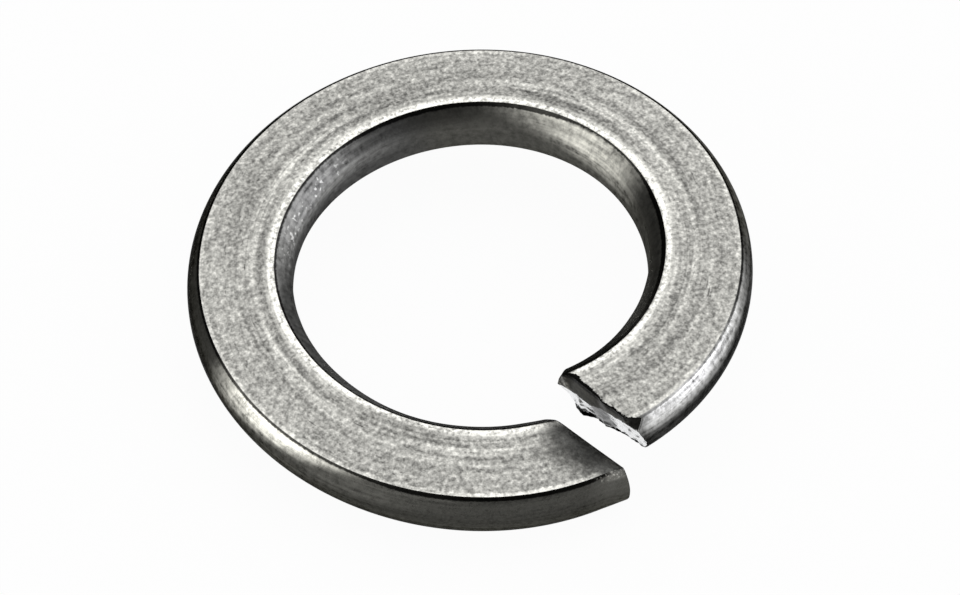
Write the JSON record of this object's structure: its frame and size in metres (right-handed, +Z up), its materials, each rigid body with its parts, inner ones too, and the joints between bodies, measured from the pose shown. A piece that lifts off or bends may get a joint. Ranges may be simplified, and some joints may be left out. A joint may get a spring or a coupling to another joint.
{
  "type": "spring lock washer",
  "caption": "Split spring lock washer: one left-hand turn of flattened round wire with a slanted cut, which grips under the head of an M8 screw.",
  "frame": {"origin": "on the bore axis, level with the lowest point of the washer", "axes": "+Z up along the bore axis, towards the screw's head; the cut faces -Y, with the low end on its -X side and the high end on its +X side"},
  "size_m": [0.0134, 0.0135, 0.0032],
  "materials": {
    "spring_steel": "satin, with a fine grain from rolling"
  },
  "bodies": {
    "root": {"spring_lock_washer": "spring_steel"}
  },
  "joints": []
}
